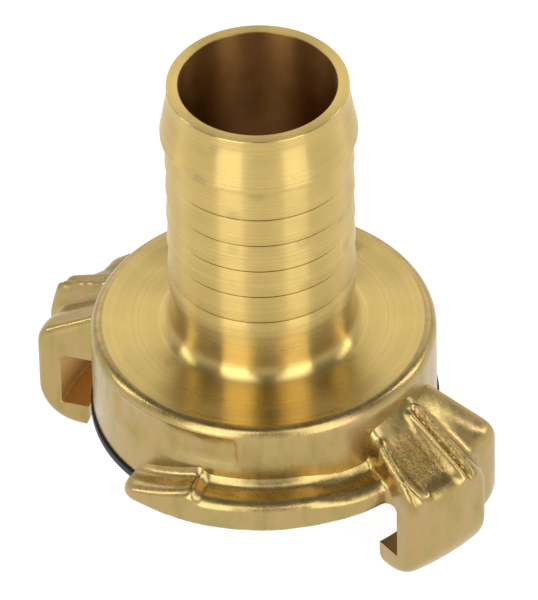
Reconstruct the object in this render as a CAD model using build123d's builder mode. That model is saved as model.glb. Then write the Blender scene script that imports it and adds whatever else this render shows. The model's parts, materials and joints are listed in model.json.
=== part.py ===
"""Quarter turn claw coupling with a serrated hose tail.

One brass forging, turned on its hose tail, carries two hooked claws and two
ramped flange segments, and a rubber face seal is pressed into its underside.
The part stands on the undersides of its claws, tail up: +Z is the axis of the
waterway, the origin is on that axis in the plane of the claw undersides, and
the claws are centred on +X and -X.
"""

from build123d import *

import os
from math import atan, cos, radians, sin, sqrt

# ---- heights above the claw undersides ----
lip_height = 3.1          # thickness of the hooked lip of each claw
slot_height = 6.75        # clear height inside the claw slot
seal_proud = 1.15         # how far the seal stands below the flange face
seal_rim_thickness = 1.15  # thickness of the seal's outer rim
flange_thickness = 3.55   # flange, from its face to its locking seat
body_height = 10.85       # from the flange face to the top of the round body
tail_length = 32.33       # from the top of the body to the tip of the tail

flange_z = lip_height + slot_height
body_top_z = flange_z + body_height
tip_z = body_top_z + tail_length
seat_z = flange_z + flange_thickness
seal_bottom_z = flange_z - seal_proud
seal_seat_z = seal_bottom_z + seal_rim_thickness

# ---- waterway and hose tail ----
bore_diameter = 16.6
tip_diameter = 19.1
tip_land = 1.4            # straight stretch behind the tip
tip_chamfer = 0.35
lead_barb_diameter = 20.7
lead_barb_length = 6.4    # from the tip to the widest edge of the first barb
barb_diameter = 19.86
barb_count = 6
first_barb_length = 3.79
barb_pitch = 3.52
last_barb_length = 2.36
barb_depth = 0.22
barb_land = 0.45          # straight crest before each barb's edge
neck_diameter = 19.2
neck_fillet = 1.8

# ---- round body ----
body_diameter = 36.7
body_edge_radius = 1.25
seal_recess_depth = 4.0
seal_recess_diameter = 25.2
undercut_diameter = 27.2
undercut_height = 2.0

# ---- face seal ----
seal_bore_diameter = 17.6
seal_outer_diameter = 37.2
seal_edge_chamfer = 0.4
seal_groove_diameter = 27.0
seal_groove_width = 1.4
seal_groove_depth = 0.7
groove_run = 1.6             # how far each groove goes on below the roof's outer edge
seal_clearance = 0.05

# ---- flange segments ----
flange_diameter = 43.6
flange_edge_width = 1.05  # sloping outer edge of the locking seat
flange_edge_drop = 0.6
flange_root_radius = 1.2
root_overlap = 0.03        # the root curve starts this far inside the body's wall
flange_overlap = 1.4       # how far the segments reach into the body's wall
flange_end_angle = -102.0  # free end of the segment, seen from the claw's middle
ramp_end_angle = -76.0     # crest of the ramp, where the lock snaps in
ramp_rise = 3.3
crest_height = 0.85        # crest of the ramp above the locking seat
flange_end_radius = 2.6
ramp_lap = 2.0             # the seat runs on this many degrees under the ramp's crest

# ---- claws ----
claw_half_angle = 18.0
claw_gap = 40.0            # clear distance between the two hooks
slot_diameter = 46.06
slot_corner_radius = 0.7
nose_radius = 1.2          # rounding under the tip of each hook
lobe_radius = 25.9         # outer wall of the lobe beside the flange
lobe_offset = 4.0          # how far that wall's centre is shifted
lobe_offset_angle = 72.0
heel_radius = 25.8         # outer wall of the lobe at the open end
heel_start_drop = 4.7      # its roof's height below the body top where the roofs start
heel_slope = 0.55
roof_start_radius = 19.0
roof_start_drop = 2.9      # roof's height below the body top at that radius
roof_slope = 0.78
shoulder_radius = 2.2
claw_bottom_radius = 4.5
valley_angle = 8.8         # direction of the valley between the two lobes
valley_radius = 2.6
valley_depth = 0.5         # below the heel lobe's wall and roof
claw_end_radius = 0.8
lobe_overlap = 3.0         # how far the lobes reach into the round body

# ---- forged pocket and grooves on the claw's roof ----
pocket_angle = -8.8
pocket_width = 4.3
pocket_length = 7.2
pocket_depth = 0.9
pocket_corner = 0.8
pocket_middle_radius = 22.4
groove_angles = (-15.6, -0.6)
groove_depths = (0.85, 0.4)  # below the roof at the claw's middle
groove_half_width = 0.9
groove_run = 1.6             # how far each groove goes on below the roof's outer edge

# ---- sunken panel on the body's side ----
panel_start_angle = -113.0
panel_end_angle = -64.0
panel_height = 3.6
panel_top_drop = 1.3
panel_depth = 0.35


def radial_plane(angle, x=0.0, y=0.0):
    """The upright plane through a vertical axis at x, y in the direction angle."""
    a = radians(angle)
    return Plane(origin=(x, y, 0), x_dir=(cos(a), sin(a), 0), z_dir=(sin(a), -cos(a), 0))


def tail_outline():
    """Radius and height of each corner of the hose tail, from the lead barb down to the neck."""
    crest = barb_diameter / 2
    root = crest - barb_depth
    lengths = [first_barb_length] + [barb_pitch] * (barb_count - 2) + [last_barb_length]
    top = tip_z - lead_barb_length
    points = []
    for length in lengths:
        edge = top - length
        points += [(root, top), (crest, edge + barb_land), (crest, edge)]
        top = edge
    return points


# ---- turned core: hose tail, round body and seal recess ----
with BuildPart() as core:
    with BuildSketch(Plane.XZ):
        with BuildLine():
            bore_r = bore_diameter / 2
            neck_r = neck_diameter / 2
            body_r = body_diameter / 2
            recess_top = seal_seat_z + seal_recess_depth
            outline = tail_outline()
            start = Line((bore_r, recess_top), (bore_r, tip_z - tip_chamfer))
            rim = Polyline(
                start @ 1,
                (bore_r + tip_chamfer, tip_z),
                (tip_diameter / 2 - tip_chamfer, tip_z),
                (tip_diameter / 2, tip_z - tip_chamfer),
                (tip_diameter / 2, tip_z - tip_land),
                (lead_barb_diameter / 2, tip_z - lead_barb_length + barb_land),
                (lead_barb_diameter / 2, tip_z - lead_barb_length),
            )
            barbs = Polyline(rim @ 1, *outline)
            neck = Polyline(
                barbs @ 1,
                (neck_r, outline[-1][1]),
                (neck_r, body_top_z + neck_fillet),
            )
            neck_curve = RadiusArc(
                neck @ 1, (neck_r + neck_fillet, body_top_z), -neck_fillet
            )
            top = Line(neck_curve @ 1, (body_r - body_edge_radius, body_top_z))
            edge = RadiusArc(top @ 1, (body_r, body_top_z - body_edge_radius), body_edge_radius)
            Polyline(
                edge @ 1,
                (body_r, seal_seat_z),
                (seal_recess_diameter / 2, seal_seat_z),
                (seal_recess_diameter / 2, recess_top - undercut_height),
                (undercut_diameter / 2, recess_top - undercut_height),
                (undercut_diameter / 2, recess_top),
                start @ 0,
            )
        make_face()
    revolve(axis=Axis.Z)


def flange_section(seat):
    """Section of a flange segment, whose locking seat lies at the height seat."""
    outer = flange_diameter / 2
    start_r = body_diameter / 2 - root_overlap
    centre_r = start_r + flange_root_radius
    centre_z = seat + flange_root_radius
    half_root = flange_root_radius * sqrt(0.5)
    low = seat - 2 * flange_thickness
    with BuildSketch() as section:
        with BuildLine():
            root = Line((start_r - flange_overlap, low), (start_r - flange_overlap, centre_z))
            top = Line(root @ 1, (start_r, centre_z))
            curve = ThreePointArc(
                top @ 1, (centre_r - half_root, centre_z - half_root), (centre_r, seat)
            )
            Polyline(
                curve @ 1,
                (outer - flange_edge_width, seat),
                (outer, seat - flange_edge_drop),
                (outer, low),
                root @ 0,
            )
        make_face()
    return section.sketch


def pie_slice(start, end, radius, start_corner=0.0):
    """Block about the axis between two directions, its first outer corner rounded if asked."""
    a, b = radians(start), radians(end)
    middle = (a + b) / 2
    with BuildPart() as block:
        with BuildSketch() as slice_face:
            with BuildLine():
                first = Line((0, 0), (radius * cos(a), radius * sin(a)))
                rim = ThreePointArc(
                    first @ 1,
                    (radius * cos(middle), radius * sin(middle)),
                    (radius * cos(b), radius * sin(b)),
                )
                Line(rim @ 1, (0, 0))
            make_face()
            if start_corner:
                corner = Vector(radius * cos(a), radius * sin(a))
                fillet(slice_face.vertices().sort_by_distance(corner)[0], start_corner)
        extrude(amount=body_top_z)
    return block.part


# ---- locking seat of a flange segment ----
seat_start = ramp_end_angle - ramp_lap
with BuildPart() as seat_ring:
    with BuildSketch(radial_plane(seat_start)):
        add(flange_section(seat_z))
    revolve(axis=Axis.Z, revolution_arc=-claw_half_angle / 2 - seat_start)
    split(bisect_by=Plane.XY.offset(flange_z), keep=Keep.TOP)

# ---- ramp that leads the other coupling's hook onto the seat ----
ramp_arc = ramp_end_angle - flange_end_angle
with BuildPart() as ramp:
    with BuildLine() as ramp_path:
        Helix(
            pitch=ramp_rise * 360 / ramp_arc,
            height=ramp_rise,
            radius=flange_diameter / 2,
        )
    with BuildSketch(radial_plane(0)):
        add(flange_section(seat_z + crest_height - ramp_rise))
    sweep(path=ramp_path.line, is_frenet=True)
    split(bisect_by=Plane.XY.offset(flange_z), keep=Keep.TOP)
    add(
        pie_slice(0, ramp_arc + ramp_lap, flange_diameter / 2, flange_end_radius),
        mode=Mode.INTERSECT,
    )


def roof_height(radius, drop=roof_start_drop, slope=roof_slope):
    """Height of a lobe's sloping roof at a radius."""
    return body_top_z - drop - slope * (radius - roof_start_radius)


def lobe(wall_r, shift, shift_angle, start, end, free_end, drop, slope):
    """One lobe of a claw, a ring about a shifted axis; the edges at its free end are rounded."""
    a = radians(shift_angle)
    cx, cy = shift * cos(a), shift * sin(a)
    middle = radians((start + end) / 2)
    offset_r = cx * cos(middle) + cy * sin(middle)
    inner = body_diameter / 2 - lobe_overlap
    with BuildPart() as ring:
        with BuildSketch(Plane(origin=(cx, cy, 0), x_dir=(1, 0, 0), z_dir=(0, -1, 0))) as section:
            with BuildLine():
                Polyline(
                    (inner, 0),
                    (wall_r, 0),
                    (wall_r, roof_height(wall_r + offset_r, drop, slope)),
                    (inner, roof_height(inner + offset_r, drop, slope)),
                    (inner, 0),
                )
            make_face()
            fillet(section.vertices().group_by(Axis.X)[-1].sort_by(Axis.Y)[-1], shoulder_radius)
            fillet(section.vertices().sort_by(Axis.X)[-2:].sort_by(Axis.Y)[0], claw_bottom_radius)
        revolve(axis=Axis((cx, cy, 0), (0, 0, 1)))
        add(pie_slice(start, end, 2 * wall_r), mode=Mode.INTERSECT)
        across = Vector(-sin(radians(free_end)), cos(radians(free_end)), 0)
        end_face = ring.faces().sort_by(lambda face: abs(face.center().dot(across)))[0]
        rounded = end_face.edges().filter_by(
            lambda edge: Vector(edge.center().X, edge.center().Y).length > body_diameter / 2
        )
        fillet(rounded, claw_end_radius)
    return ring.part


def bar_path(angle, rise, drop):
    """Line down a claw's roof, then down its outer wall by drop, standing off them by rise."""
    lean = rise / cos(atan(roof_slope))
    start_r = body_diameter / 2 - valley_radius
    bend_r = heel_radius + rise
    bend_z = roof_height(bend_r) + lean
    with BuildLine(radial_plane(angle)) as path:
        FilletPolyline(
            (start_r, roof_height(start_r) + lean),
            (bend_r, bend_z),
            (bend_r, bend_z - drop),
            radius=shoulder_radius + rise,
        )
    return path.line


# ---- claw: two lobes with a valley between them, and the slot for the other flange ----
with BuildPart() as claw:
    add(
        lobe(
            lobe_radius, lobe_offset, lobe_offset_angle,
            -claw_half_angle, valley_angle, -claw_half_angle,
            roof_start_drop, roof_slope,
        )
    )
    add(
        lobe(
            heel_radius, 0.0, 0.0, valley_angle, claw_half_angle, claw_half_angle,
            heel_start_drop, heel_slope,
        )
    )
    # valley between the lobes: a round bar carried down the roof and the outer wall
    valley_path = bar_path(valley_angle, valley_radius - valley_depth, body_top_z)
    with BuildSketch(Plane(origin=valley_path @ 0, z_dir=valley_path % 0)):
        Circle(valley_radius)
    sweep(path=valley_path, mode=Mode.SUBTRACT)
    # V-shaped grooves beside the pocket, down the roof and over the shoulder
    groove_width = groove_half_width * sqrt(2)
    for groove_angle, groove_depth in zip(groove_angles, groove_depths):
        groove_path = bar_path(groove_angle, groove_half_width - groove_depth, groove_run)
        with BuildSketch(Plane(origin=groove_path @ 0, z_dir=groove_path % 0)):
            Rectangle(groove_width, groove_width, rotation=45)
        sweep(path=groove_path, mode=Mode.SUBTRACT)
    # dished pocket on the roof of the near lobe
    turn = radians(pocket_angle)
    tilt = atan(roof_slope)
    pocket_plane = Plane(
        origin=(
            pocket_middle_radius * cos(turn),
            pocket_middle_radius * sin(turn),
            roof_height(pocket_middle_radius),
        ),
        x_dir=(cos(tilt) * cos(turn), cos(tilt) * sin(turn), -sin(tilt)),
        z_dir=(sin(tilt) * cos(turn), sin(tilt) * sin(turn), cos(tilt)),
    )
    with BuildSketch(pocket_plane.offset(-pocket_depth)):
        RectangleRounded(pocket_length, pocket_width, pocket_corner)
    extrude(amount=2 * pocket_depth, mode=Mode.SUBTRACT)
    # slot that takes the other coupling's flange
    with BuildSketch(radial_plane(0)) as slot_section:
        with BuildLine():
            mouth = Polyline(
                (0, flange_z),
                (0, -nose_radius),
                (claw_gap / 2 + nose_radius, -nose_radius),
                (claw_gap / 2 + nose_radius, 0),
            )
            nose = RadiusArc(mouth @ 1, (claw_gap / 2, nose_radius), nose_radius)
            Polyline(
                nose @ 1,
                (claw_gap / 2, lip_height),
                (slot_diameter / 2, lip_height),
                (slot_diameter / 2, flange_z),
                mouth @ 0,
            )
        make_face()
        upper_corner = slot_section.vertices().group_by(Axis.X)[-1].sort_by(Axis.Y)[-1]
        fillet(upper_corner, slot_corner_radius)
    revolve(axis=Axis.Z, mode=Mode.SUBTRACT)

with BuildPart() as half:
    add(seat_ring.part)
    add(Rot(0, 0, flange_end_angle) * ramp.part)
    add(claw.part)

# ---- the brass body, in one piece ----
with BuildPart() as coupling_body:
    add(core.part)
    add(half.part)
    add(Rot(0, 0, 180) * half.part)
    # face that carries the seal's rim
    with BuildSketch(Plane.XY.offset(seal_seat_z)):
        Circle(body_diameter / 2)
    extrude(amount=-seal_seat_z, mode=Mode.SUBTRACT)
    # sunken panel
    with BuildSketch(radial_plane(panel_start_angle)):
        with Locations((body_diameter / 2 - panel_depth, body_top_z - panel_top_drop)):
            Rectangle(2 * panel_depth, panel_height, align=(Align.MIN, Align.MAX))
    revolve(axis=Axis.Z, revolution_arc=panel_end_angle - panel_start_angle, mode=Mode.SUBTRACT)

# ---- rubber face seal: a rim under the body and a neck up into the recess ----
with BuildPart() as face_seal:
    with BuildSketch(Plane.XZ) as seal_section:
        with BuildLine():
            inner_r = seal_bore_diameter / 2
            recess_r = seal_recess_diameter / 2 - seal_clearance
            bulge_r = undercut_diameter / 2 - seal_clearance
            bulge_z = recess_top - undercut_height + seal_clearance
            Polyline(
                (inner_r, seal_bottom_z),
                (seal_outer_diameter / 2, seal_bottom_z),
                (seal_outer_diameter / 2, seal_seat_z),
                (recess_r, seal_seat_z),
                (recess_r, bulge_z),
                (bulge_r, bulge_z),
                (bulge_r, recess_top - seal_clearance),
                (inner_r, recess_top - seal_clearance),
                (inner_r, seal_bottom_z),
            )
        make_face()
        chamfer(seal_section.vertices().group_by(Axis.Y)[0], seal_edge_chamfer)
        with Locations((seal_groove_diameter / 2, seal_bottom_z)):
            Rectangle(seal_groove_width, 2 * seal_groove_depth, mode=Mode.SUBTRACT)
    revolve(axis=Axis.Z)

os.makedirs("parts", exist_ok=True)
coupling_body.part.label = "coupling_body"
export_step(coupling_body.part, "parts/coupling_body.step")
face_seal.part.label = "face_seal"
export_step(face_seal.part, "parts/face_seal.step")
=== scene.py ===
"""Quarter turn claw hose coupling: a forged and turned brass body with a rubber face seal.

The shapes are worked out in millimetres about the axis of the waterway, with height
measured from the undersides of the claws, and put into the meshes in metres.
"""

import json
import math

import bpy
import numpy as np
from bpy.props import FloatProperty, FloatVectorProperty, IntProperty, PointerProperty
from mathutils import Matrix, Vector

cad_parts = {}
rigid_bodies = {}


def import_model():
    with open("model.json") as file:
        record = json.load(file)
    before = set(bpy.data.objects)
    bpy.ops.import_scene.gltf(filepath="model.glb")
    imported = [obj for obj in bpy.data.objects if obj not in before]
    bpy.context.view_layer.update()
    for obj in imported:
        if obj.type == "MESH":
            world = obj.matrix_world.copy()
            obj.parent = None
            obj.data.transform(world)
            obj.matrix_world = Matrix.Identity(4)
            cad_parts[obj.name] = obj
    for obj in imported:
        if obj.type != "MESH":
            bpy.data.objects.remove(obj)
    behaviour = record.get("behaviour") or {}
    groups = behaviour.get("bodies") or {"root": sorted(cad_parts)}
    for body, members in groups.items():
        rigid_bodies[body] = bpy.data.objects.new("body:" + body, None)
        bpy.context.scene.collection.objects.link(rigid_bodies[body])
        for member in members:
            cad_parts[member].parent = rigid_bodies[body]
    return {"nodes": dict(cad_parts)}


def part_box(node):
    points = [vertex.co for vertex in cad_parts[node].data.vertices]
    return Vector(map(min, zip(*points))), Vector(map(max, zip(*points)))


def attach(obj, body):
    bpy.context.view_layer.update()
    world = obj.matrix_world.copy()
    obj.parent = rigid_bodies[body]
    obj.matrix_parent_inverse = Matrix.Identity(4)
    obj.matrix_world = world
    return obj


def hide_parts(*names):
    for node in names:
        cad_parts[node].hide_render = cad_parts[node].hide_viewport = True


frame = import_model()

bl_info = {
    "name": "Quarter turn claw hose coupling",
    "version": (1, 0, 0),
    "blender": (4, 5, 0),
    "location": "View3D > Sidebar > Coupling",
    "description": "Builds a brass claw coupling with a serrated hose tail and its seal",
    "category": "Add Mesh",
}

MM = 0.001
DEG = math.pi / 180

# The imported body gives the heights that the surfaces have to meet.
BODY_LOW, BODY_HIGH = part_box("coupling_body")
TIP_Z = BODY_HIGH.z / MM

# Tail, in millimetres: lead barb's edge to the next edge, the lowest band, and the tool mark
# that shows under each edge.
LEAD_BAND = 3.79
LOW_BAND = 2.36
MARK_HEIGHT = 0.3
MARK_DEPTH = 0.06

# Near lobe of a claw: a cylinder whose axis is shifted outward, in millimetres and degrees.
LOBE_RADIUS = 25.9
LOBE_SHIFT = 4.0
LOBE_TURN = 72

# The point that the camera looks at, in metres.
LOOK_AT = (-0.0001988, 0.0013769, 0.0221026)


def linear(hex_colour):
    """Linear red, green, blue and alpha of an sRGB hex colour such as C8A45A."""
    parts = [int(hex_colour[i : i + 2], 16) / 255 for i in (0, 2, 4)]
    return [c / 12.92 if c <= 0.04045 else ((c + 0.055) / 1.055) ** 2.4 for c in parts] + [1.0]


# ---- settings ----


def length(name, description, mm, low=0.0):
    """A length property, given in millimetres and held in metres."""
    return FloatProperty(
        name=name, description=description, default=mm * MM, min=low, unit="LENGTH", precision=5
    )


def angle(name, description, degrees):
    """An angle property, given in degrees and held in radians."""
    return FloatProperty(
        name=name, description=description, default=degrees * DEG, subtype="ANGLE", unit="ROTATION"
    )


def colour(name, description, hex_colour):
    """A colour property, given as sRGB hex and held as linear values."""
    return FloatVectorProperty(
        name=name,
        description=description,
        default=linear(hex_colour)[:3],
        min=0.0,
        max=1.0,
        subtype="COLOR",
    )


class TurnedSizes(bpy.types.PropertyGroup):
    """Sizes of what is turned on the forging: hose tail, neck, round body and recess."""

    bore: length("Bore", "Diameter of the waterway", 16.6)
    tip: length("Tip", "Diameter of the tail at its tip", 19.1)
    lead_barb: length("Lead barb", "Diameter of the first and widest barb", 20.7)
    lead_length: length("Lead length", "From the tip to the edge of the first barb", 6.4)
    barb: length("Barb", "Diameter of the other barbs", 19.86)
    barb_depth: length("Barb depth", "Step at each barb's edge", 0.22)
    barb_pitch: length("Barb pitch", "From one barb's edge to the next", 3.52)
    neck: length("Neck", "Diameter of the neck under the barbs", 19.2)
    neck_round: length("Neck rounding", "Radius of the hollow between neck and body", 1.8)
    body: length("Body", "Diameter of the round body", 36.7)
    body_top: length("Body top", "Height of the turned face of the body", 20.7)
    body_edge: length("Body edge", "Radius of the edge around the turned face", 1.25)
    seal_seat: length("Seal seat", "Height of the face that the seal lies on", 9.85)
    panel_depth: length("Panel depth", "Depth of the bare panel sunk in the body's side", 0.35)


class ForgedSizes(bpy.types.PropertyGroup):
    """Sizes of what is left as forged: flange segments with their ramps, and claws."""

    flange: length("Flange", "Diameter of the flange segments", 43.6)
    flange_face: length("Flange face", "Height of the flange's underside", 9.85)
    seat: length("Seat", "Height of the locking seat", 13.4)
    flange_root: length("Root rounding", "Radius of the hollow between seat and body", 1.2)
    ramp_start: angle("Ramp start", "Free end of a segment, from the claw's middle", -102)
    ramp_end: angle("Ramp end", "Crest of the ramp, from the claw's middle", -76)
    claw_half: angle("Claw half width", "Half of the claw's width about the axis", 18)
    claw_gap: length("Claw gap", "Clear distance between the two hooks", 40)
    slot: length("Slot", "Diameter across the walls of the two slots", 46.06)
    lip: length("Lip", "Thickness of the hooked lip", 3.1)
    right_top: length("Right lobe", "Height of the right claw's roof at radius 19", 17.8)
    right_slope: FloatProperty(name="Right roof", description="Fall of that roof", default=0.78)
    left_top: length("Left lobe", "Height of the left claw's roof at radius 19", 16.9)
    left_slope: FloatProperty(name="Left roof", description="Fall of that roof", default=0.53)
    voxel: length("Skin grain", "Spacing of the points on the forged skin", 0.21)
    soften: IntProperty(
        name="Softening", description="Rounds of smoothing of the forged skin", default=14, min=0
    )


class Finishes(bpy.types.PropertyGroup):
    """Colours of the brass and of the rubber."""

    turned: colour("Turned brass", "Freshly cut brass", "CDB26D")
    forged: colour("Forged brass", "Pickled skin of the forging", "AC965F")
    forged_tan: colour("Forged brass, tan", "Tan patches on that skin", "B3946A")
    # painted shade: orange-brown tint that stands in for brass reflecting brass in the hollows of the
    # forging
    scale: colour("Forging scale", "Tint left in the hollows of the forging", "A8672B")
    # painted shade: darker, warmer brass that stands in for the shade and brass-on-brass reflections
    # inside the waterway
    bore: colour("Bore", "Drilled brass inside the waterway", "A67B46")
    cut: colour("Cut brass", "Bare metal of the slots", "DDB673")
    rubber: colour("Rubber", "Moulded rubber of the seal", "0C0C0D")


class StageSizes(bpy.types.PropertyGroup):
    """Camera, lights and floor."""

    azimuth: angle("Azimuth", "Direction of the camera from the axis", -54.05)
    elevation: angle("Elevation", "Height angle of the camera", 41.22)
    roll: angle("Roll", "Roll of the camera about its line of sight", -1.35)
    distance: length("Distance", "From the camera to the point it looks at", 963.6)
    focal: FloatProperty(name="Focal length", description="In millimetres", default=608.9)


# ---- numpy shapes ----


def rounded(corners):
    """Polyline through (radius, height, rounding) corners.

    A corner with a rounding becomes an arc tangent to both its sides: it starts a distance
    rounding * tan(turn / 2) before the corner and is swept through the turn.
    """
    pts = np.array([c[:2] for c in corners], float)
    out = []
    for i, (x, y, radius) in enumerate(corners):
        if radius <= 0 or i in (0, len(corners) - 1):
            out.append([(x, y)])
            continue
        before = pts[i] - pts[i - 1]
        after = pts[i + 1] - pts[i]
        d1, d2 = before / np.linalg.norm(before), after / np.linalg.norm(after)
        turn = math.atan2(d1[0] * d2[1] - d1[1] * d2[0], float(d1 @ d2))
        reach = radius * math.tan(abs(turn) / 2)
        start = pts[i] - d1 * reach
        side = np.array([-d1[1], d1[0]]) * math.copysign(1, turn)
        centre = start + side * radius
        steps = max(3, int(abs(turn) / (12 * DEG)) + 2)
        sweep = np.linspace(0, turn, steps)
        arm = start - centre
        out.append(
            np.stack(
                [
                    centre[0] + arm[0] * np.cos(sweep) - arm[1] * np.sin(sweep),
                    centre[1] + arm[0] * np.sin(sweep) + arm[1] * np.cos(sweep),
                ],
                1,
            )
        )
    return np.concatenate([np.array(o, float) for o in out])


def spaced(path, step):
    """The same polyline with points added so that no stretch is longer than step."""
    gaps = np.linalg.norm(np.diff(path, axis=0), axis=1)
    counts = np.maximum(1, np.ceil(gaps / step)).astype(int)
    parts = [
        path[i] + (path[i + 1] - path[i]) * np.linspace(0, 1, n, endpoint=False)[:, None]
        for i, n in enumerate(counts)
    ]
    return np.concatenate([*parts, path[-1:]])


def turn_grid(path, angles):
    """Grid of a profile turned about the axis: x = r cos a, y = r sin a, z = height."""
    r, z = path[:, 0], path[:, 1]
    a = np.asarray(angles)[:, None]
    return np.stack([r * np.cos(a), r * np.sin(a), np.broadcast_to(z, (len(a), len(z)))], 2)


def grid_faces(rows, columns, close_rows, close_columns):
    """Quads that join the neighbours of a grid, wrapping round where asked."""
    i = np.arange(rows if close_rows else rows - 1)
    j = np.arange(columns if close_columns else columns - 1)
    i, j = np.meshgrid(i, j, indexing="ij")
    i2, j2 = (i + 1) % rows, (j + 1) % columns
    quads = np.stack([i * columns + j, i2 * columns + j, i2 * columns + j2, i * columns + j2], 2)
    return quads.reshape(-1, 4)


def volume_sign(points, quads):
    """Sign of the volume that a closed shell of quads holds."""
    a, b, c, d = (points[quads[:, k]] for k in range(4))
    held = np.einsum("ij,ij->i", a, np.cross(b, c)) + np.einsum("ij,ij->i", a, np.cross(c, d))
    return math.copysign(1, held.sum())


def shell(name, grid, close_rows, close_columns, caps=False):
    """Mesh object of a grid given in millimetres, its faces outward, its end rows capped if asked."""
    rows, columns = grid.shape[:2]
    points = grid.reshape(-1, 3)
    quads = grid_faces(rows, columns, close_rows, close_columns)
    if volume_sign(points, quads) < 0:
        quads = quads[:, ::-1]
    faces = quads.tolist()
    if caps:
        first = list(range(columns))
        last = [(rows - 1) * columns + k for k in range(columns)]
        along = grid[-1].mean(0) - grid[0].mean(0)
        for ring, outward in ((first, -along), (last, along)):
            loop = points[ring]
            normal = np.cross(loop, np.roll(loop, -1, 0)).sum(0)
            faces.append(ring if normal @ outward > 0 else ring[::-1])
    mesh = bpy.data.meshes.new(name)
    mesh.from_pydata((points * MM).tolist(), [], faces)
    mesh.update()
    thing = bpy.data.objects.new(name, mesh)
    bpy.context.scene.collection.objects.link(thing)
    return thing


def mesh_arrays(thing):
    """Points in millimetres, edges and vertex normals of an object, as arrays."""
    mesh = thing.data
    points = np.empty(len(mesh.vertices) * 3, np.float32)
    mesh.vertices.foreach_get("co", points)
    edges = np.empty(len(mesh.edges) * 2, np.int32)
    mesh.edges.foreach_get("vertices", edges)
    normals = np.empty(len(mesh.vertices) * 3, np.float32)
    mesh.vertex_normals.foreach_get("vector", normals)
    return points.reshape(-1, 3).astype(float) / MM, edges.reshape(-1, 2), normals.reshape(-1, 3)


def place_points(thing, points):
    """Puts points given in millimetres back into a mesh."""
    thing.data.vertices.foreach_set("co", (points * MM).astype(np.float32).ravel())
    thing.data.update()


def face_centres(thing):
    """Centre of each face, in millimetres, and its distance from the axis."""
    centre = np.empty(len(thing.data.polygons) * 3, np.float32)
    thing.data.polygons.foreach_get("center", centre)
    centre = centre.reshape(-1, 3) / MM
    return centre, np.hypot(centre[:, 0], centre[:, 1])


def set_attribute(thing, name, values):
    """Stores one value for each vertex, for a material to read."""
    mark = thing.data.attributes.new(name, "FLOAT", "POINT")
    mark.data.foreach_set("value", np.asarray(values, np.float32))


def neighbour_mean(values, edges, count):
    """Mean of a value over the neighbours that the edges give each vertex."""
    total = np.stack(
        [
            np.bincount(edges[:, 0], values[edges[:, 1], k], count)
            + np.bincount(edges[:, 1], values[edges[:, 0], k], count)
            for k in range(values.shape[1])
        ],
        1,
    )
    degree = np.bincount(edges.ravel(), minlength=count)[:, None]
    return total / np.maximum(degree, 1)


def soften(points, edges, rounds, pull=0.6):
    """Smoothing: each point moves a share of the way to the mean of its neighbours, again and again."""
    for _ in range(rounds):
        points = points + pull * (neighbour_mean(points, edges, len(points)) - points)
    return points


def grain(points, size, seed):
    """Smooth noise from -1 to 1: random values on a lattice of the given size, blended between."""
    cell = np.floor(points / size).astype(np.int64)
    part = points / size - cell
    part = part * part * (3 - 2 * part)
    total = np.zeros(len(points))
    for corner in range(8):
        step = np.array([corner & 1, corner >> 1 & 1, corner >> 2 & 1])
        at = cell + step
        key = at[:, 0] * 73856093 ^ at[:, 1] * 19349663 ^ at[:, 2] * 83492791 ^ seed * 2654435761
        key = (key ^ (key >> 13)) * 1274126177 & 0x7FFFFFFF
        value = (key ^ (key >> 16)) % 65536 / 32767.5 - 1
        weight = np.prod(np.where(step, part, 1 - part), 1)
        total += value * weight
    return total


def ease(x, low, high):
    """Smooth step from 0 at low to 1 at high."""
    t = np.clip((x - low) / (high - low), 0, 1)
    return t * t * (3 - 2 * t)


def bump_at(x, centre, width):
    """Bell of height 1 and the given half width about a centre."""
    return np.exp(-(((x - centre) / width) ** 2))


def turned_about(points, degrees):
    """Points turned about the axis."""
    c, s = math.cos(degrees * DEG), math.sin(degrees * DEG)
    return points @ np.array([[c, s, 0], [-s, c, 0], [0, 0, 1]])


# ---- the turned core ----


def tail_corners(t):
    """Corners of the tail from the neck up to the bore's mouth, each with its rounding."""
    crest, root = t["barb"] / 2, t["barb"] / 2 - t["barb_depth"]
    low = TIP_Z - t["lead_length"] - LEAD_BAND - 4 * t["barb_pitch"] - LOW_BAND
    edges = [low] + [low + LOW_BAND + t["barb_pitch"] * k for k in range(5)]
    corners = [
        (t["neck"] / 2, t["body_top"], t["neck_round"]),
        (t["neck"] / 2, low, 0.05),
    ]
    tops = edges[1:] + [TIP_Z - t["lead_length"]]
    for edge, top in zip(edges, tops):
        # straight crest, taper up to the root, and the fine mark the tool leaves under the next
        floor_r, foot = root - MARK_DEPTH, top - MARK_HEIGHT
        corners += [
            (crest, edge, 0.04), (crest - 0.05, edge + 1.0, 1.0), (root, foot, 0.01),
            (floor_r, foot + 0.02, 0.01), (floor_r, top, 0.02),
        ]
    lead, tip, bore = t["lead_barb"] / 2, t["tip"] / 2, t["bore"] / 2
    corners += [
        (lead, TIP_Z - t["lead_length"], 0.12),
        (lead, TIP_Z - t["lead_length"] + 0.5, 0.6),
        (tip, TIP_Z - 1.4, 2.0),
        (tip, TIP_Z, 0.12),
        (bore, TIP_Z, 0.08),
    ]
    return corners


def sizes_mm(group):
    """The group's lengths in millimetres, its angles in degrees and its counts as they are."""
    out = {}
    for name, prop in group.bl_rna.properties.items():
        if name in ("rna_type", "name"):
            continue
        value = getattr(group, name)
        if getattr(prop, "unit", "") == "LENGTH":
            value = value / MM
        elif getattr(prop, "unit", "") == "ROTATION":
            value = value / DEG
        out[name] = value
    return out


def panel_sink(angles, z, t):
    """Depth of the sunk panel at each direction and height, with rounded borders."""
    a = (angles / DEG + 180) % 360 - 180
    across = ease(a, -114.4, -111.6) * (1 - ease(a, -65.4, -62.6))
    up = ease(z, t["body_top"] - 5.3, t["body_top"] - 4.5)
    up = up * (1 - ease(z, t["body_top"] - 1.7, t["body_top"] - 0.9))
    return t["panel_depth"] * across * up


# ---- the forging ----


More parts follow.
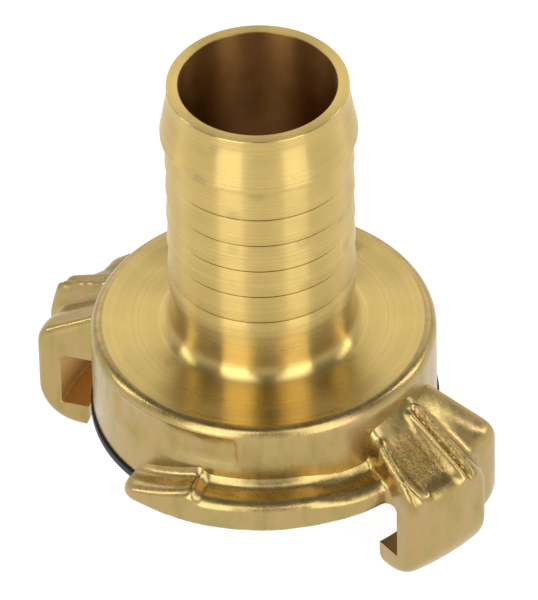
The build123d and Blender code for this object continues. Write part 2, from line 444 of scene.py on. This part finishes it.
def near_lobe(a):
    """Radius of the near lobe's wall at each direction, in degrees from the claw's middle."""
    turn = (LOBE_TURN - a) * DEG
    return LOBE_SHIFT * np.cos(turn) + np.sqrt(LOBE_RADIUS**2 - (LOBE_SHIFT * np.sin(turn)) ** 2)


def claw_wall(a):
    """Radius of a claw's outer wall at each direction, in degrees from its middle.

    The lobe beside the flange swells towards the middle, a valley follows, then the heel lobe.
    """
    near = near_lobe(a)
    into, out = ease(a, 3.9, 7.4), ease(a, 8.0, 13.0)
    return near * (1 - into) + 25.1 * into * (1 - out) + 25.8 * out


def claw_roof(a, f, near_top, near_slope):
    """Height at radius 19 and slope of a claw's roof line, at each direction.

    Beside the valley the near lobe has its own roof; towards the flange it is as on the right.
    """
    away = ease(-a, 1, 9)
    near_slope = near_slope + (f["right_slope"] - near_slope) * away
    near = near_top + (f["right_top"] - near_top) * away + near_slope * (near_lobe(a) - 26.83)
    into, out = ease(a, 2.0, 5.2), ease(a, 5.6, 12.5)
    height = near * (1 - into) + 16.0 * into * (1 - out) + 16.0 * out
    slope = near_slope * (1 - into) + 0.7 * into * (1 - out) + 0.55 * out
    return height, slope


def claw_grid(f, near_top, near_slope):
    """Closed section of a claw carried across it.

    Roof line, shoulder arc, wall, rounded bottom, underside and back, for each direction;
    near both ends the section draws in by a quarter circle, which rounds the ends.
    """
    half, edge = f["claw_half"], 0.9
    reach = edge / 25 / DEG
    near_end = np.concatenate([np.linspace(0, reach, 7), [reach * 1.3]])
    a = np.concatenate([-half + near_end, np.linspace(-half + 1.6 * reach, half - 1.6 * reach, 60)])
    a = np.concatenate([a, half - near_end[::-1]])
    inward = np.clip(1 - (half - np.abs(a)) / reach, 0, 1)
    inset = (edge * (1 - np.sqrt(1 - inward**2)))[:, None]
    shoulder, bottom = 2.2, 4.5
    height, slope = (v[:, None] for v in claw_roof(a, f, near_top, near_slope))
    lean = np.hypot(1, slope)
    wall = claw_wall(a)[:, None] - inset
    roof = height - inset * lean
    shoulder_z = roof - slope * (wall - shoulder - 19) - shoulder * lean
    phi = np.arctan2(1, slope) * np.linspace(1, 0, 9)[None]
    arc_r = wall - shoulder + shoulder * np.cos(phi)
    arc_z = shoulder_z + shoulder * np.sin(phi)
    psi = np.linspace(0, -math.pi / 2, 11)[None]
    low_r = wall - bottom + bottom * np.cos(psi)
    low_z = bottom + bottom * np.sin(psi) + inset
    share = np.linspace(0, 1, 14)[None, :-1]
    roof_r = 15.5 + (arc_r[:, :1] - 15.5) * share
    roof_z = roof - slope * (roof_r - 19)
    back_r = np.broadcast_to(np.array([[18.6, 18.6, 18.3, 15.5]]), (len(a), 4))
    back_z = np.broadcast_to(np.array([[0.0, 9.4, 10.05, 10.05]]), (len(a), 4)).copy()
    back_z[:, 0] += inset[:, 0]
    r = np.concatenate([roof_r, arc_r, low_r, back_r], 1)
    z = np.concatenate([roof_z, arc_z, low_z, back_z], 1)
    t = (a * DEG)[:, None]
    return np.stack([r * np.cos(t), r * np.sin(t), z], 2)


def seat_height(a, f):
    """Height of the locking seat: a ramp up to its crest, a drop, then level, sinking at the claw."""
    start, crest = f["ramp_start"], f["ramp_end"]
    top = f["seat"] + 0.85
    ramp = top - 3.3 * (crest - a) / (crest - start)
    level = f["seat"] - 0.8 * ease(a, -44, -26)
    drop = ease(a, crest, crest + 2.4)
    return np.where(a < crest, ramp, top * (1 - drop) + level * drop)


def flange_grid(f):
    """Closed section of a flange segment carried from its free end into the claw.

    Underside, outer face, sloping edge of the seat, hollow root, and back inside the body.
    """
    start, outer = f["ramp_start"], f["flange"] / 2
    a = np.concatenate(
        [
            start + np.array([0, 0.05, 0.2, 0.5, 0.9, 1.4, 2, 3, 4, 5, 6, 7]),
            np.linspace(start + 8, f["ramp_end"] - 1, 16),
            np.linspace(f["ramp_end"] - 0.6, f["ramp_end"] + 3, 16),
            np.linspace(f["ramp_end"] + 4, -12, 50),
        ]
    )
    t = np.clip((a - start) * DEG * outer, 0, 2.6)
    rim = outer - 2.6 + np.sqrt(np.clip(2.6**2 - (2.6 - t) ** 2, 0, None))
    seat = seat_height(a, f)
    wall, face = 18.3, f["flange_face"]
    lip = np.maximum(rim - 1.05, wall + 0.4)
    root = np.minimum(f["flange_root"], lip - wall - 0.05)[:, None]
    phi = np.linspace(0, math.pi / 2, 10)[None]
    arc_r = wall + root * (1 - np.cos(phi))
    arc_z = seat[:, None] + root * (1 - np.sin(phi))
    n = len(a)
    back = np.full((n, 1), 15.5)
    low = np.full((n, 1), face + 0.2)
    r = [np.full((n, 1), wall), rim[:, None], rim[:, None], lip[:, None], arc_r[:, ::-1], back, back]
    z = [
        np.full((n, 1), face), np.full((n, 1), face), (seat - 0.6)[:, None], seat[:, None],
        arc_z[:, ::-1], seat[:, None] + root, low,
    ]
    r = np.concatenate([*r, np.full((n, 1), wall)], 1)
    z = np.concatenate([*z, low], 1)
    u = (a * DEG)[:, None]
    return np.stack([r * np.cos(u), r * np.sin(u), z], 2)


def forge_marks(points, normals, f):
    """How far each point of the forged skin stands out: ridges, grooves, a pocket and grain.

    All are bells across the claw, faded in and out along its roof, plus lattice noise.
    """
    r = np.hypot(points[:, 0], points[:, 1])
    a = np.arctan2(points[:, 1], points[:, 0]) / DEG
    z = points[:, 2]
    across = a * DEG * np.maximum(r, 10)
    half = f["claw_half"] * DEG * r
    up = ease(normals[:, 2], 0.15, 0.5)
    on_roof = up * ease(r, 19.2, 20.0) * (np.abs(a) < 19)
    near_shoulder = ease(z, 9.5, 12.0) * (np.abs(a) < 19.5) * ease(r, 19.0, 20.0)
    rough = 0.5 + 0.5 * grain(points, 0.5, 5)
    # rough flash left along the end of the claw beside the flange
    flash = bump_at(across, 0.5 - half, 0.45) * near_shoulder
    marks = flash * (0.26 + 0.16 * rough)
    # short second ridge beside the pocket's foot
    marks += 0.24 * bump_at(across, -6.6, 0.34) * on_roof * ease(r, 22.0, 23.6)
    # dished pocket, deeper towards its lower end
    pocket = ease(across, -6.3, -5.0) * (1 - ease(across, -2.2, -0.9))
    pocket = pocket * ease(r, 19.4, 21.2) * (1 - ease(r, 24.2, 26.9)) * ease(z, 9.0, 11.0)
    marks -= pocket * (0.35 + 0.4 * ease(r, 20, 24.5) + 0.03 * grain(points, 0.7, 3))
    # smooth ridge, groove, and the rough ridge beside the valley
    on_ridge = up * ease(r, 18.8, 19.6) * (1 - 0.8 * ease(r, 26.3, 27.4)) * (np.abs(a) < 19)
    marks += 0.26 * bump_at(across, -0.9, 0.45) * on_ridge
    marks -= 0.36 * bump_at(across, -0.2, 0.3) * on_ridge
    marks += bump_at(across, 0.5, 0.5) * on_ridge * (0.16 + 0.26 * rough)
    # skin of the forging
    marks += 0.008 * grain(points, 0.8, 7) + 0.03 * grain(points, 2.6, 8)
    torn = 0.6 * bump_at(across, 0.3, 0.6) * on_roof + 0.4 * flash
    torn += pocket * (1 - 0.5 * ease(r, 23.6, 24.8))
    return marks, np.clip(torn, 0, 1)


def slot_cutter(f):
    """Closed profile turned about the axis: what the tool takes out between the claws."""
    gap, slot, lip, face = f["claw_gap"] / 2, f["slot"] / 2, f["lip"], f["flange_face"]
    path = rounded(
        [
            (17.0, -3, 0),
            (gap + 2.5, -3, 0),
            (gap + 1.2, 0.0, 0),
            (gap + 0.35, 0.35, 0.3),
            (gap, 1.3, 0.4),
            (gap, lip, 0.06),
            (slot, lip, 0.15),
            (slot, face, 0.7),
            (17.0, face, 0),
        ]
    )
    angles = np.linspace(-26, 26, 140) * DEG
    return turn_grid(path, angles)


def apply_modifiers(thing):
    """Makes the object's mesh what its modifiers show."""
    bpy.context.view_layer.update()
    graph = bpy.context.evaluated_depsgraph_get()
    mesh = bpy.data.meshes.new_from_object(thing.evaluated_get(graph))
    old = thing.data
    thing.modifiers.clear()
    thing.data = mesh
    mesh.name = thing.name
    bpy.data.meshes.remove(old)


def joined(name, things):
    """One object from several, their shells left as they are."""
    for thing in bpy.context.scene.objects:
        thing.select_set(thing in things)
    bpy.context.view_layer.objects.active = things[0]
    bpy.ops.object.join()
    things[0].name = name
    return things[0]


def forge_half(name, f, turn, near_top, near_slope):
    """One flange segment and one claw, fused, softened, marked and slotted, then turned in place."""
    flange = shell(name + "_flange", flange_grid(f), False, True, caps=True)
    claw = shell(name + "_claw", claw_grid(f, near_top, near_slope), False, True, caps=True)
    piece = joined(name, [claw, flange])
    fuse = piece.modifiers.new("fuse", "REMESH")
    fuse.mode = "VOXEL"
    fuse.voxel_size = f["voxel"] * MM
    fuse.adaptivity = 0
    apply_modifiers(piece)
    points, edges, _ = mesh_arrays(piece)
    place_points(piece, soften(points, edges, f["soften"]))
    points, edges, normals = mesh_arrays(piece)
    outside = ease(np.hypot(points[:, 0], points[:, 1]), 18.4, 18.9)
    marks, torn = forge_marks(points, normals, f)
    points = points + normals * (marks * outside)[:, None]
    points[:, 2] = np.maximum(points[:, 2], 0)
    set_attribute(piece, "torn", torn)
    place_points(piece, soften(points, edges, 1, 0.35))
    cutter = shell(name + "_cutter", slot_cutter(f), False, True, caps=True)
    cut = piece.modifiers.new("slot", "BOOLEAN")
    cut.operation = "DIFFERENCE"
    cut.solver = "MANIFOLD"
    cut.object = cutter
    apply_modifiers(piece)
    bpy.data.objects.remove(cutter)
    # how hollow the skin is at each point, for the painted shade in the hollows
    points, edges, normals = mesh_arrays(piece)
    blurred = soften(points, edges, 10, 0.7)
    hollow = np.einsum("ij,ij->i", blurred - points, normals)
    set_attribute(piece, "hollow", np.clip(hollow / 0.25, -1, 1))
    # faces left by the slot's cutter, within the claw's span, are bare metal
    centre, out = face_centres(piece)
    bare = np.abs(out - f["slot"] / 2) < 0.03
    for level in (f["lip"], f["flange_face"]):
        bare |= (np.abs(centre[:, 2] - level) < 0.02) & (out < f["slot"] / 2)
    bare &= centre[:, 2] < f["flange_face"] + 0.05
    bare &= np.abs(np.arctan2(centre[:, 1], centre[:, 0])) < f["claw_half"] * DEG
    dress(piece, finish_named("forged_brass", forged_brass))
    piece.data.materials.append(finish_named("machined_brass", machined_brass))
    piece.data.polygons.foreach_set("material_index", bare.astype(np.int32))
    place_points(piece, turned_about(points, turn))
    smooth(piece, 42)
    return piece


def smooth(thing, crease):
    """Smooth shading, with edges sharper than crease degrees kept."""
    mesh = thing.data
    mesh.polygons.foreach_set("use_smooth", np.ones(len(mesh.polygons), bool))
    mesh.set_sharp_from_angle(angle=crease * DEG)


# ---- materials ----


def node(tree, kind, settings=None, **links):
    """Adds a node; settings go to its properties or unlinked sockets, links join its inputs."""
    made = tree.nodes.new(kind)
    for key, value in (settings or {}).items():
        if hasattr(made, key):
            setattr(made, key, value)
        else:
            made.inputs[key].default_value = value
    for key, source in links.items():
        socket = made.inputs[int(key[1:])] if key[0] == "i" and key[1:].isdigit() else made.inputs[key]
        tree.links.new(source, socket)
    return made


def new_material(name):
    """A named material with an empty node tree and its output."""
    material = bpy.data.materials.new(name)
    material.use_nodes = True
    material.node_tree.nodes.clear()
    return material, material.node_tree


def ramp(tree, source, stops):
    """Colour ramp fed by a value, with (place, linear colour) stops."""
    made = node(tree, "ShaderNodeValToRGB", i0=source)
    elements = made.color_ramp.elements
    while len(elements) < len(stops):
        elements.new(0.5)
    for element, (place, tint) in zip(elements, stops):
        element.position = place
        element.color = tint
    return made.outputs["Color"]


def shade(tint, factor):
    """A linear colour made lighter or darker."""
    return [c * factor for c in tint[:3]] + [1.0]


def turned_brass(finish):
    """Brass turned on a lathe: fine tool rings that stretch every highlight along the axis."""
    material, tree = new_material("turned_brass")
    tint = list(finish.turned)
    coords = node(tree, "ShaderNodeTexCoord").outputs["Object"]
    split = node(tree, "ShaderNodeSeparateXYZ", i0=coords)
    radius = node(
        tree, "ShaderNodeVectorMath", {"operation": "LENGTH"},
        i0=node(tree, "ShaderNodeCombineXYZ", i0=split.outputs[0], i1=split.outputs[1]).outputs[0],
    )
    # one coordinate across the tool rings: height on the tail, radius on the turned face
    travel = node(
        tree, "ShaderNodeMath", {"operation": "ADD"}, i0=split.outputs[2], i1=radius.outputs["Value"]
    )
    line = node(tree, "ShaderNodeCombineXYZ", i0=travel.outputs[0])
    # tool rings: 0.12 mm feed, drawn twice as coarse so that they show
    rings = node(
        tree, "ShaderNodeTexNoise", {"Scale": 1 / 0.00024, "Detail": 2.0, "Roughness": 0.6},
        i0=line.outputs[0],
    )
    wide = node(
        tree, "ShaderNodeTexNoise", {"Scale": 1 / 0.0016, "Detail": 2.0}, i0=line.outputs[0]
    )
    blotch = node(
        tree, "ShaderNodeTexNoise", {"Scale": 1 / 0.004, "Detail": 4.0, "Roughness": 0.6}, i0=coords
    )
    # dried water spots, 1 to 2 mm across, in a few places
    spots = node(tree, "ShaderNodeTexVoronoi", {"Scale": 1 / 0.0052, "Randomness": 1.0}, i0=coords)
    spot = node(
        tree, "ShaderNodeMapRange",
        {"From Min": 0.12, "From Max": 0.2, "To Min": 1.0, "To Max": 0.0, "clamp": True},
        i0=spots.outputs["Distance"],
    )
    base = ramp(tree, blotch.outputs[0], [(0.3, shade(tint, 0.93)), (0.7, shade(tint, 1.03))])
    lines = ramp(tree, rings.outputs[0], [(0.3, (0.9, 0.88, 0.84, 1)), (0.65, (1.03, 1.04, 1.08, 1))])
    lined = node(
        tree, "ShaderNodeMix", {"data_type": "RGBA", "blend_type": "MULTIPLY"}, i6=base, i7=lines
    )
    lined.inputs[0].default_value = 1.0
    stained = node(
        tree, "ShaderNodeMix", {"data_type": "RGBA", "blend_type": "MULTIPLY"},
        i6=lined.outputs[2],
    )
    stained.inputs[7].default_value = (0.86, 0.87, 0.9, 1)
    tree.links.new(spot.outputs[0], stained.inputs[0])
    # painted shade: colour darkened in the tool mark under each barb, where the barb's overhang shades
    # it
    mark = node(tree, "ShaderNodeAttribute", {"attribute_name": "tool_mark"})
    grimed = node(
        tree, "ShaderNodeMix", {"data_type": "RGBA", "blend_type": "MULTIPLY"},
        i0=mark.outputs["Fac"], i6=stained.outputs[2],
    )
    grimed.inputs[7].default_value = (0.5, 0.38, 0.2, 1)
    rough = node(
        tree, "ShaderNodeMapRange", {"From Min": 0.3, "From Max": 0.7, "To Min": 0.25, "To Max": 0.32},
        i0=wide.outputs[0],
    )
    bump = node(
        tree, "ShaderNodeBump", {"Strength": 0.6, "Distance": 0.00003}, Height=rings.outputs[0]
    )
    tangent = node(tree, "ShaderNodeTangent", {"direction_type": "RADIAL", "axis": "Z"})
    metal = node(
        tree, "ShaderNodeBsdfPrincipled",
        {"Metallic": 1.0, "Anisotropic": 1.0, "Anisotropic Rotation": 0.25},
        **{"Base Color": grimed.outputs[2], "Roughness": rough.outputs[0]},
        Normal=bump.outputs[0], Tangent=tangent.outputs[0],
    )
    node(tree, "ShaderNodeOutputMaterial", i0=metal.outputs[0])
    return material


def forged_brass(finish):
    """Forged and pickled brass: a satin skin, olive and tan in patches, torn at its flash."""
    material, tree = new_material("forged_brass")
    tint, tan, scale = list(finish.forged), list(finish.forged_tan), list(finish.scale)
    coords = node(tree, "ShaderNodeTexCoord").outputs["Object"]
    # patches drawn out along the axis, as the metal flowed
    flow = node(tree, "ShaderNodeMapping", {"Scale": (1, 1, 0.35)}, i0=coords).outputs[0]
    patch = node(
        tree, "ShaderNodeTexNoise", {"Scale": 1 / 0.0022, "Detail": 5.0, "Roughness": 0.6}, i0=flow
    )
    mottle = node(
        tree, "ShaderNodeTexNoise", {"Scale": 1 / 0.0035, "Detail": 5.0, "Roughness": 0.62}, i0=coords
    )
    # grit of the die face, 0.15 mm, drawn twice as coarse so that it shows
    grit = node(
        tree, "ShaderNodeTexNoise", {"Scale": 1 / 0.00036, "Detail": 3.0, "Roughness": 0.6}, i0=coords
    )
    skin = node(
        tree, "ShaderNodeTexNoise", {"Scale": 1 / 0.0014, "Detail": 4.0, "Roughness": 0.6}, i0=coords
    )
    shades = [(0.3, shade(tint, 0.86)), (0.5, shade(tint, 1.02)), (0.7, shade(tan, 1.04))]
    base = ramp(tree, patch.outputs[0], shades)
    # painted shade: the hollows, and a few mottled patches, take the orange-brown tint of brass
    # reflecting brass
    hollow = node(tree, "ShaderNodeAttribute", {"attribute_name": "hollow"})
    stained = node(
        tree, "ShaderNodeMath", {"operation": "MULTIPLY_ADD"},
        i0=mottle.outputs[0], i2=hollow.outputs["Fac"],
    )
    stained.inputs[1].default_value = 0.5
    amount = node(
        tree, "ShaderNodeMapRange", {"From Min": 0.42, "From Max": 1.2, "To Min": 0.0, "To Max": 0.48},
        i0=stained.outputs[0],
    )
    mixed = node(tree, "ShaderNodeMix", {"data_type": "RGBA"}, i0=amount.outputs[0], i6=base)
    mixed.inputs[7].default_value = scale + [1.0]
    rough = node(
        tree, "ShaderNodeMapRange", {"From Min": 0.3, "From Max": 0.7, "To Min": 0.22, "To Max": 0.33},
        i0=skin.outputs[0],
    )
    torn = node(tree, "ShaderNodeAttribute", {"attribute_name": "torn"})
    coarseness = node(tree, "ShaderNodeMapRange", {"To Min": 0.4, "To Max": 1.6}, i0=torn.outputs["Fac"])
    relief = node(
        tree, "ShaderNodeMath", {"operation": "MULTIPLY_ADD"},
        i0=grit.outputs[0], i1=coarseness.outputs[0], i2=skin.outputs[0],
    )
    height = node(
        tree, "ShaderNodeMapRange", {"To Min": 0.00003, "To Max": 0.00015}, i0=torn.outputs["Fac"]
    )
    darker = node(
        tree, "ShaderNodeMix", {"data_type": "RGBA", "blend_type": "MULTIPLY"},
        i0=torn.outputs["Fac"], i6=mixed.outputs[2],
    )
    darker.inputs[7].default_value = (0.52, 0.47, 0.38, 1)
    bump = node(
        tree, "ShaderNodeBump", {"Strength": 0.6}, Height=relief.outputs[0], Distance=height.outputs[0]
    )
    metal = node(
        tree, "ShaderNodeBsdfPrincipled", {"Metallic": 1.0},
        **{"Base Color": darker.outputs[2], "Roughness": rough.outputs[0]},
        Normal=bump.outputs[0],
    )
    node(tree, "ShaderNodeOutputMaterial", i0=metal.outputs[0])
    return material


def drilled_brass(finish):
    """Drilled brass inside the waterway: dull and ringed by the drill, coloured darker and warmer than
    the turned brass as painted shade and reflection of the deep bore.
    """
    material, tree = new_material("drilled_brass")
    tint = list(finish.bore)
    coords = node(tree, "ShaderNodeTexCoord").outputs["Object"]
    height = node(tree, "ShaderNodeSeparateXYZ", i0=coords).outputs[2]
    line = node(tree, "ShaderNodeCombineXYZ", i0=height)
    # drill rings, 0.5 mm apart
    rings = node(
        tree, "ShaderNodeTexNoise", {"Scale": 1 / 0.0005, "Detail": 3.0}, i0=line.outputs[0]
    )
    dull = node(tree, "ShaderNodeTexNoise", {"Scale": 1 / 0.003, "Detail": 4.0}, i0=coords)
    base = ramp(tree, dull.outputs[0], [(0.3, shade(tint, 0.8)), (0.75, shade(tint, 1.15))])
    bump = node(
        tree, "ShaderNodeBump", {"Strength": 0.5, "Distance": 0.00004}, Height=rings.outputs[0]
    )
    metal = node(
        tree, "ShaderNodeBsdfPrincipled",
        {"Metallic": 1.0, "Roughness": 0.36, "Anisotropic": 0.9, "Anisotropic Rotation": 0.25},
        **{"Base Color": base}, Normal=bump.outputs[0],
        Tangent=node(tree, "ShaderNodeTangent", {"direction_type": "RADIAL", "axis": "Z"}).outputs[0],
    )
    node(tree, "ShaderNodeOutputMaterial", i0=metal.outputs[0])
    return material


def machined_brass(finish):
    """Bare brass that the cutter left in the slots, satin and without scale."""
    material, tree = new_material("machined_brass")
    tint = list(finish.cut)
    coords = node(tree, "ShaderNodeTexCoord").outputs["Object"]
    # cutter marks, 0.4 mm apart
    marks = node(tree, "ShaderNodeTexNoise", {"Scale": 1 / 0.0004, "Detail": 2.0}, i0=coords)
    base = ramp(tree, marks.outputs[0], [(0.3, shade(tint, 0.93)), (0.7, shade(tint, 1.03))])
    bump = node(
        tree, "ShaderNodeBump", {"Strength": 0.4, "Distance": 0.00003}, Height=marks.outputs[0]
    )
    metal = node(
        tree, "ShaderNodeBsdfPrincipled", {"Metallic": 1.0, "Roughness": 0.45},
        **{"Base Color": base}, Normal=bump.outputs[0],
    )
    node(tree, "ShaderNodeOutputMaterial", i0=metal.outputs[0])
    return material


def moulded_rubber(finish):
    """Black moulded rubber: matt, with a faint bloom and the fine skin of the mould."""
    material, tree = new_material("moulded_rubber")
    tint = list(finish.rubber)
    coords = node(tree, "ShaderNodeTexCoord").outputs["Object"]
    bloom = node(tree, "ShaderNodeTexNoise", {"Scale": 1 / 0.003, "Detail": 4.0}, i0=coords)
    skin = node(tree, "ShaderNodeTexNoise", {"Scale": 1 / 0.0002, "Detail": 2.0}, i0=coords)
    base = ramp(tree, bloom.outputs[0], [(0.35, shade(tint, 0.8)), (0.7, shade(tint, 1.5))])
    rough = node(
        tree, "ShaderNodeMapRange", {"From Min": 0.3, "From Max": 0.7, "To Min": 0.5, "To Max": 0.66},
        i0=bloom.outputs[0],
    )
    bump = node(
        tree, "ShaderNodeBump", {"Strength": 0.25, "Distance": 0.00003}, Height=skin.outputs[0]
    )
    surface = node(
        tree, "ShaderNodeBsdfPrincipled", {"IOR": 1.52},
        **{"Base Color": base, "Roughness": rough.outputs[0]},
        Normal=bump.outputs[0],
    )
    node(tree, "ShaderNodeOutputMaterial", i0=surface.outputs[0])
    return material


def finish_named(name, maker):
    """The material of that name, made once."""
    return bpy.data.materials.get(name) or maker(bpy.context.scene.coupling_finishes)


def dress(thing, material):
    """Gives an object its material and its body."""
    thing.data.materials.clear()
    thing.data.materials.append(material)
    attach(thing, "root")


# ---- operators ----


class COUPLING_OT_turned_core(bpy.types.Operator):
    """Hose tail, neck, turned face, bore and seal recess, as one turned shell"""

    bl_idname = "coupling.turned_core"
    bl_label = "Turned core"

    def execute(self, context):
        t = sizes_mm(context.scene.coupling_turned)
        body, bore, top = t["body"] / 2, t["bore"] / 2, t["body_top"]
        seat = t["seal_seat"]
        inside = [
            (bore, seat + 4, 0.1), (13.6, seat + 4, 0.1), (13.6, seat + 2, 0.1),
            (12.6, seat + 2, 0.1), (12.6, seat, 0.1), (body, seat, 0.25),
            (body, top, t["body_edge"]),
        ]
        path = rounded([(bore, 20.0, 0), *inside, *tail_corners(t), (bore, 20.0, 0)])
        path = spaced(path[:-1], 0.6)
        angles = np.linspace(0, 2 * math.pi, 320, endpoint=False)
        grid = turn_grid(path, angles)
        radius = np.hypot(grid[..., 0], grid[..., 1])
        turn = np.arctan2(grid[..., 1], grid[..., 0])
        on_wall = ease(radius, body - 0.3, body - 0.05)
        sink = panel_sink(turn, grid[..., 2], t) * on_wall
        grid[..., :2] *= (1 - sink / np.maximum(radius, 1))[..., None]
        core = shell("turned_core", grid, True, True)
        smooth(core, 30)
        # the groove under each barb, which the turned brass darkens as painted shade
        marked = t["barb"] / 2 - t["barb_depth"] - MARK_DEPTH
        on_tail = (grid[..., 2] > t["body_top"] + 5) & (np.abs(radius - marked) < 0.02)
        set_attribute(core, "tool_mark", on_tail.ravel())
        dress(core, finish_named("turned_brass", turned_brass))
        core.data.materials.append(finish_named("forged_brass", forged_brass))
        core.data.materials.append(finish_named("drilled_brass", drilled_brass))
        out = face_centres(core)[1]
        zone = np.where(out > body - t["body_edge"] + 0.05, 1, np.where(out < bore + 0.12, 2, 0))
        core.data.polygons.foreach_set("material_index", zone.astype(np.int32))
        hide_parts("coupling_body")
        return {"FINISHED"}


class COUPLING_OT_forged_claws(bpy.types.Operator):
    """The two flange segments and claws, left as forged apart from their slots"""

    bl_idname = "coupling.forged_claws"
    bl_label = "Forged claws"

    def execute(self, context):
        f = sizes_mm(context.scene.coupling_forged)
        halves = (
            forge_half("forged_claw_right", f, 0, f["right_top"], f["right_slope"]),
            forge_half("forged_claw_left", f, 180, f["left_top"], f["left_slope"]),
        )
        for half in halves:
            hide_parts("coupling_body")
        return {"FINISHED"}


class COUPLING_OT_face_seal(bpy.types.Operator):
    """Rubber finish for the face seal"""

    bl_idname = "coupling.face_seal"
    bl_label = "Face seal"

    def execute(self, context):
        seal = frame["nodes"]["face_seal"]
        seal.data.materials.clear()
        seal.data.materials.append(finish_named("moulded_rubber", moulded_rubber))
        return {"FINISHED"}


def area_light(name, place, target, size, watts, shape="RECTANGLE"):
    """A soft rectangular light at a place in metres, facing a target."""
    data = bpy.data.lights.new(name, "AREA")
    data.shape = shape
    data.size, data.size_y = size
    data.energy = watts
    lamp = bpy.data.objects.new(name, data)
    lamp.location = place
    lamp.rotation_euler = (Vector(target) - Vector(place)).to_track_quat("-Z", "Y").to_euler()
    bpy.context.scene.collection.objects.link(lamp)
    return lamp


def around(azimuth, elevation, distance, centre=(0, 0, 0.02)):
    """Place at a direction, in degrees from the camera's own, and a distance from a centre."""
    a = (azimuth - 54.05) * DEG
    e = elevation * DEG
    return Vector(centre) + Vector(
        (math.cos(a) * math.cos(e), math.sin(a) * math.cos(e), math.sin(e))
    ) * distance


class COUPLING_OT_stage(bpy.types.Operator):
    """White floor, soft boxes and the camera"""

    bl_idname = "coupling.stage"
    bl_label = "Stage"

    def execute(self, context):
        s = sizes_mm(context.scene.coupling_stage)
        half = 1.5
        mesh = bpy.data.meshes.new("floor")
        low = BODY_LOW.z - 0.0002
        mesh.from_pydata(
            [(-half, -half, low), (half, -half, low), (half, half, low), (-half, half, low)],
            [],
            [(0, 1, 2, 3)],
        )
        floor = bpy.data.objects.new("floor", mesh)
        context.scene.collection.objects.link(floor)
        material, tree = new_material("white_paper")
        # paper that glows evenly, so that it shows white
        paper = node(tree, "ShaderNodeBsdfDiffuse", {"Color": linear("808080")})
        glow = node(tree, "ShaderNodeEmission", {"Color": (1, 1, 1, 1), "Strength": 0.92})
        both = node(tree, "ShaderNodeAddShader", i0=paper.outputs[0], i1=glow.outputs[0])
        node(tree, "ShaderNodeOutputMaterial", i0=both.outputs[0])
        mesh.materials.append(material)

        world = bpy.data.worlds.new("studio")
        context.scene.world = world
        world.use_nodes = True
        backdrop = world.node_tree.nodes["Background"]
        # white tent walls up to about 21 degrees, fading to dim above 37 degrees
        around_us = node(world.node_tree, "ShaderNodeTexCoord").outputs["Generated"]
        rise = node(world.node_tree, "ShaderNodeSeparateXYZ", i0=around_us).outputs[2]
        sky = ramp(
            world.node_tree, rise,
            [(0.0, (0.9, 0.9, 0.9, 1)), (0.36, (0.85, 0.85, 0.85, 1)), (0.6, (0.26, 0.26, 0.26, 1)),
             (1.0, (0.2, 0.2, 0.2, 1))],
        )
        world.node_tree.links.new(sky, backdrop.inputs[0])
        backdrop.inputs[1].default_value = 1.0
        context.scene.view_settings.view_transform = "Standard"

        middle = (0, 0, 0.03)
        area_light("key_left", around(-33, 32, 0.6), middle, (0.32, 0.8), 2.3)
        area_light("key_right", around(39, 32, 0.6), middle, (0.3, 0.8), 1.9)
        area_light("side_left", around(-98, 32, 0.6), middle, (0.08, 0.35), 0.45)
        area_light("side_right", around(106, 32, 0.6), middle, (0.08, 0.35), 0.45)
        area_light("back", around(180, 36, 0.7), middle, (1.1, 0.4), 1.25)

        eye = bpy.data.cameras.new("camera")
        eye.sensor_fit = "HORIZONTAL"
        eye.sensor_width = 36
        eye.lens = s["focal"]
        eye.clip_start, eye.clip_end = 0.05, 10
        camera = bpy.data.objects.new("camera", eye)
        context.scene.collection.objects.link(camera)
        target = Vector(LOOK_AT)
        a, e = s["azimuth"] * DEG, s["elevation"] * DEG
        away = Vector((math.cos(a) * math.cos(e), math.sin(a) * math.cos(e), math.sin(e)))
        camera.location = target + away * s["distance"] * MM
        look = (-away).to_track_quat("-Z", "Y")
        camera.rotation_mode = "QUATERNION"
        camera.rotation_quaternion = look @ Matrix.Rotation(
            s["roll"] * DEG, 3, "Z"
        ).to_quaternion()
        context.scene.camera = camera
        return {"FINISHED"}


class COUPLING_PT_panel(bpy.types.Panel):
    """Settings and steps of the coupling"""

    bl_idname = "COUPLING_PT_panel"
    bl_label = "Claw coupling"
    bl_space_type = "VIEW_3D"
    bl_region_type = "UI"
    bl_category = "Coupling"

    def draw(self, context):
        for step in STEPS:
            self.layout.operator(step.bl_idname)
        for label in SETTINGS:
            group = getattr(context.scene, label)
            box = self.layout.box()
            for name in group.bl_rna.properties.keys():
                if name not in ("rna_type", "name"):
                    box.prop(group, name)


STEPS = (
    COUPLING_OT_turned_core,
    COUPLING_OT_forged_claws,
    COUPLING_OT_face_seal,
    COUPLING_OT_stage,
)
SETTINGS = {
    "coupling_turned": TurnedSizes,
    "coupling_forged": ForgedSizes,
    "coupling_finishes": Finishes,
    "coupling_stage": StageSizes,
}


def register():
    for group in SETTINGS.values():
        bpy.utils.register_class(group)
    for label, group in SETTINGS.items():
        setattr(bpy.types.Scene, label, PointerProperty(type=group))
    for step in (*STEPS, COUPLING_PT_panel):
        bpy.utils.register_class(step)


def unregister():
    for step in (COUPLING_PT_panel, *reversed(STEPS)):
        bpy.utils.unregister_class(step)
    for label, group in reversed(SETTINGS.items()):
        delattr(bpy.types.Scene, label)
        bpy.utils.unregister_class(group)


def main():
    register()
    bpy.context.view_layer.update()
    for operator in (
        bpy.ops.coupling.turned_core,
        bpy.ops.coupling.forged_claws,
        bpy.ops.coupling.face_seal,
        bpy.ops.coupling.stage,
    ):
        operator()


if __name__ == "__main__":
    main()
